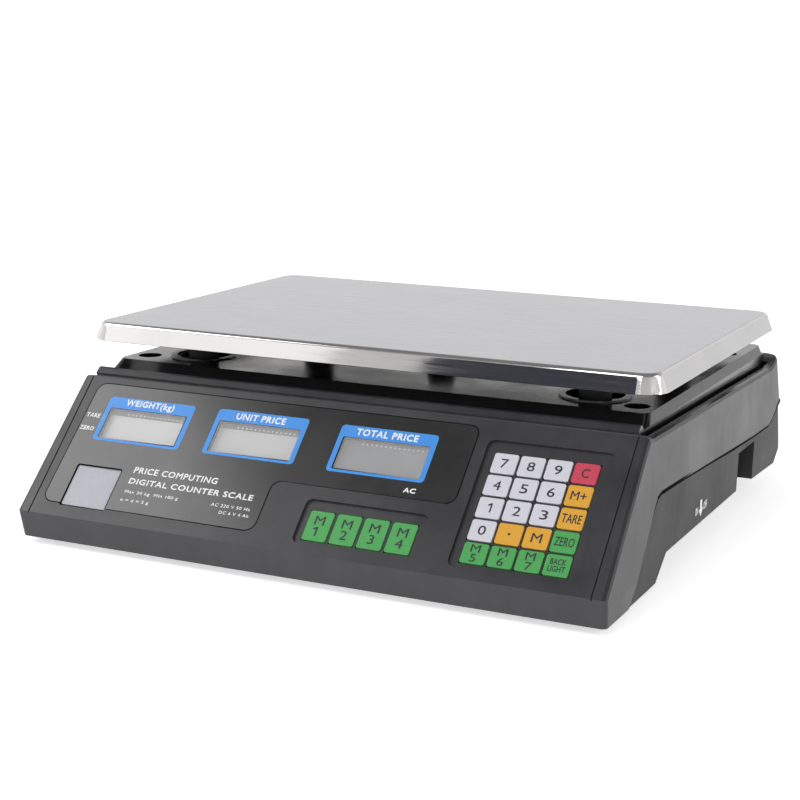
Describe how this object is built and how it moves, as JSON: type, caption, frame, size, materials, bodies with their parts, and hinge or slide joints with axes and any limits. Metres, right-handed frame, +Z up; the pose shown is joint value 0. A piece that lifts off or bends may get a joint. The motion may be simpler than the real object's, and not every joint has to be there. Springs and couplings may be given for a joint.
{
  "type": "price computing scale",
  "caption": "Counter-top price-computing scale with a sloped display and keypad panel and a lift-off steel weighing pan on a load-cell platform.",
  "frame": {"origin": "middle of the plan of the whole scale, at the underside of its feet", "axes": "+X to the operator's right, -Y towards the operator and the sloped panel, +Z up"},
  "size_m": [0.346, 0.3482, 0.1144],
  "materials": {
    "housing_plastic": "textured charcoal ABS",
    "fascia_film": "satin printed polyester film",
    "grey_window": "pale grey clear plastic",
    "lcd_glass": "reflective display glass, switched off",
    "switch_mat": "black silicone",
    "circuit_board": "green solder mask",
    "key_grey": "lavender grey printed film",
    "key_red": "red printed film",
    "key_amber": "amber printed film",
    "key_green": "green printed film",
    "pan_steel": "satin top with polished folds",
    "cast_alloy": "as cast and machined",
    "zinc_steel": "zinc plated",
    "rubber": "black moulded rubber",
    "gloss_black": "gloss black nylon",
    "battery_case": "dark grey ABS"
  },
  "bodies": {
    "housing": {"upper_housing": "housing_plastic", "base_housing": "housing_plastic", "display_fascia": "fascia_film", "corner_window": "grey_window", "weight_lcd": "lcd_glass", "unit_price_lcd": "lcd_glass", "total_price_lcd": "lcd_glass", "keypad_switch_mat": "switch_mat", "memory_switch_mat": "switch_mat", "main_board": "circuit_board", "load_cell": "cast_alloy", "load_cell_plate": "zinc_steel", "housing_screw_front_left": "zinc_steel", "housing_screw_front_right": "zinc_steel", "housing_screw_rear_left": "zinc_steel", "housing_screw_rear_right": "zinc_steel", "overload_stop": "rubber", "power_jack": "gloss_black", "power_switch_body": "gloss_black", "battery": "battery_case"},
    "platform": {"pan_spider": "cast_alloy", "platform_bolt_1": "zinc_steel", "platform_bolt_2": "zinc_steel", "pan_cushion_front_left": "rubber", "pan_cushion_front_right": "rubber", "pan_cushion_rear_left": "rubber", "pan_cushion_rear_right": "rubber"},
    "pan": {"weighing_pan": "pan_steel"},
    "rocker": {"power_switch_rocker": "gloss_black"},
    "cover": {"battery_cover": "housing_plastic"},
    "foot_front_left": {"levelling_foot_front_left": "rubber"},
    "foot_front_right": {"levelling_foot_front_right": "rubber"},
    "foot_rear_left": {"levelling_foot_rear_left": "rubber"},
    "foot_rear_right": {"levelling_foot_rear_right": "rubber"},
    "key_row1_column1": {"key_row1_column1": "key_grey"},
    "key_row1_column2": {"key_row1_column2": "key_grey"},
    "key_row1_column3": {"key_row1_column3": "key_grey"},
    "key_row1_column4": {"key_row1_column4": "key_red"},
    "key_row2_column1": {"key_row2_column1": "key_grey"},
    "key_row2_column2": {"key_row2_column2": "key_grey"},
    "key_row2_column3": {"key_row2_column3": "key_grey"},
    "key_row2_column4": {"key_row2_column4": "key_amber"},
    "key_row3_column1": {"key_row3_column1": "key_grey"},
    "key_row3_column2": {"key_row3_column2": "key_grey"},
    "key_row3_column3": {"key_row3_column3": "key_grey"},
    "key_row3_column4": {"key_row3_column4": "key_amber"},
    "key_row4_column1": {"key_row4_column1": "key_grey"},
    "key_row4_column2": {"key_row4_column2": "key_amber"},
    "key_row4_column3": {"key_row4_column3": "key_amber"},
    "key_row4_column4": {"key_row4_column4": "key_green"},
    "key_row5_column1": {"key_row5_column1": "key_green"},
    "key_row5_column2": {"key_row5_column2": "key_green"},
    "key_row5_column3": {"key_row5_column3": "key_green"},
    "key_row5_column4": {"key_row5_column4": "key_green"},
    "memory_key_1": {"memory_key_1": "key_green"},
    "memory_key_2": {"memory_key_2": "key_green"},
    "memory_key_3": {"memory_key_3": "key_green"},
    "memory_key_4": {"memory_key_4": "key_green"}
  },
  "joints": [
    {"name": "platform_deflection", "type": "slide", "parent": "housing", "child": "platform", "axis": [0, 0, -1], "range_m": [0, 0.0003], "stiffness_N_per_m": 300000, "springref_m": -0.00004},
    {"name": "pan_lift_off", "type": "slide", "parent": "platform", "child": "pan", "axis": [0, 0, 1], "range_m": [0, 0.08]},
    {"name": "power_rocker", "type": "hinge", "parent": "housing", "child": "rocker", "pos_m": [0.15, -0.00695, 0.017], "axis": [1, 0, 0], "range_deg": [-16, 0]},
    {"name": "battery_cover_slide", "type": "slide", "parent": "housing", "child": "cover", "axis": [0, -1, 0], "range_m": [0, 0.012]},
    {"name": "foot_turn_front_left", "type": "hinge", "parent": "housing", "child": "foot_front_left", "pos_m": [-0.134, -0.10445, 0.006], "axis": [0, 0, 1], "continuous": true},
    {"name": "foot_turn_front_right", "type": "hinge", "parent": "housing", "child": "foot_front_right", "pos_m": [0.134, -0.10445, 0.006], "axis": [0, 0, 1], "continuous": true},
    {"name": "foot_turn_rear_left", "type": "hinge", "parent": "housing", "child": "foot_rear_left", "pos_m": [-0.134, 0.14155, 0.006], "axis": [0, 0, 1], "continuous": true},
    {"name": "foot_turn_rear_right", "type": "hinge", "parent": "housing", "child": "foot_rear_right", "pos_m": [0.134, 0.14155, 0.006], "axis": [0, 0, 1], "continuous": true},
    {"name": "press_key_row1_column1", "type": "slide", "parent": "housing", "child": "key_row1_column1", "axis": [0, 0.7108, -0.7034], "range_m": [0, 0.0005], "stiffness_N_per_m": 4000},
    {"name": "press_key_row1_column2", "type": "slide", "parent": "housing", "child": "key_row1_column2", "axis": [0, 0.7108, -0.7034], "range_m": [0, 0.0005], "stiffness_N_per_m": 4000},
    {"name": "press_key_row1_column3", "type": "slide", "parent": "housing", "child": "key_row1_column3", "axis": [0, 0.7108, -0.7034], "range_m": [0, 0.0005], "stiffness_N_per_m": 4000},
    {"name": "press_key_row1_column4", "type": "slide", "parent": "housing", "child": "key_row1_column4", "axis": [0, 0.7108, -0.7034], "range_m": [0, 0.0005], "stiffness_N_per_m": 4000},
    {"name": "press_key_row2_column1", "type": "slide", "parent": "housing", "child": "key_row2_column1", "axis": [0, 0.7108, -0.7034], "range_m": [0, 0.0005], "stiffness_N_per_m": 4000},
    {"name": "press_key_row2_column2", "type": "slide", "parent": "housing", "child": "key_row2_column2", "axis": [0, 0.7108, -0.7034], "range_m": [0, 0.0005], "stiffness_N_per_m": 4000},
    {"name": "press_key_row2_column3", "type": "slide", "parent": "housing", "child": "key_row2_column3", "axis": [0, 0.7108, -0.7034], "range_m": [0, 0.0005], "stiffness_N_per_m": 4000},
    {"name": "press_key_row2_column4", "type": "slide", "parent": "housing", "child": "key_row2_column4", "axis": [0, 0.7108, -0.7034], "range_m": [0, 0.0005], "stiffness_N_per_m": 4000},
    {"name": "press_key_row3_column1", "type": "slide", "parent": "housing", "child": "key_row3_column1", "axis": [0, 0.7108, -0.7034], "range_m": [0, 0.0005], "stiffness_N_per_m": 4000},
    {"name": "press_key_row3_column2", "type": "slide", "parent": "housing", "child": "key_row3_column2", "axis": [0, 0.7108, -0.7034], "range_m": [0, 0.0005], "stiffness_N_per_m": 4000},
    {"name": "press_key_row3_column3", "type": "slide", "parent": "housing", "child": "key_row3_column3", "axis": [0, 0.7108, -0.7034], "range_m": [0, 0.0005], "stiffness_N_per_m": 4000},
    {"name": "press_key_row3_column4", "type": "slide", "parent": "housing", "child": "key_row3_column4", "axis": [0, 0.7108, -0.7034], "range_m": [0, 0.0005], "stiffness_N_per_m": 4000},
    {"name": "press_key_row4_column1", "type": "slide", "parent": "housing", "child": "key_row4_column1", "axis": [0, 0.7108, -0.7034], "range_m": [0, 0.0005], "stiffness_N_per_m": 4000},
    {"name": "press_key_row4_column2", "type": "slide", "parent": "housing", "child": "key_row4_column2", "axis": [0, 0.7108, -0.7034], "range_m": [0, 0.0005], "stiffness_N_per_m": 4000},
    {"name": "press_key_row4_column3", "type": "slide", "parent": "housing", "child": "key_row4_column3", "axis": [0, 0.7108, -0.7034], "range_m": [0, 0.0005], "stiffness_N_per_m": 4000},
    {"name": "press_key_row4_column4", "type": "slide", "parent": "housing", "child": "key_row4_column4", "axis": [0, 0.7108, -0.7034], "range_m": [0, 0.0005], "stiffness_N_per_m": 4000},
    {"name": "press_key_row5_column1", "type": "slide", "parent": "housing", "child": "key_row5_column1", "axis": [0, 0.7108, -0.7034], "range_m": [0, 0.0005], "stiffness_N_per_m": 4000},
    {"name": "press_key_row5_column2", "type": "slide", "parent": "housing", "child": "key_row5_column2", "axis": [0, 0.7108, -0.7034], "range_m": [0, 0.0005], "stiffness_N_per_m": 4000},
    {"name": "press_key_row5_column3", "type": "slide", "parent": "housing", "child": "key_row5_column3", "axis": [0, 0.7108, -0.7034], "range_m": [0, 0.0005], "stiffness_N_per_m": 4000},
    {"name": "press_key_row5_column4", "type": "slide", "parent": "housing", "child": "key_row5_column4", "axis": [0, 0.7108, -0.7034], "range_m": [0, 0.0005], "stiffness_N_per_m": 4000},
    {"name": "press_memory_key_1", "type": "slide", "parent": "housing", "child": "memory_key_1", "axis": [0, 0.7108, -0.7034], "range_m": [0, 0.0005], "stiffness_N_per_m": 4000},
    {"name": "press_memory_key_2", "type": "slide", "parent": "housing", "child": "memory_key_2", "axis": [0, 0.7108, -0.7034], "range_m": [0, 0.0005], "stiffness_N_per_m": 4000},
    {"name": "press_memory_key_3", "type": "slide", "parent": "housing", "child": "memory_key_3", "axis": [0, 0.7108, -0.7034], "range_m": [0, 0.0005], "stiffness_N_per_m": 4000},
    {"name": "press_memory_key_4", "type": "slide", "parent": "housing", "child": "memory_key_4", "axis": [0, 0.7108, -0.7034], "range_m": [0, 0.0005], "stiffness_N_per_m": 4000}
  ]
}
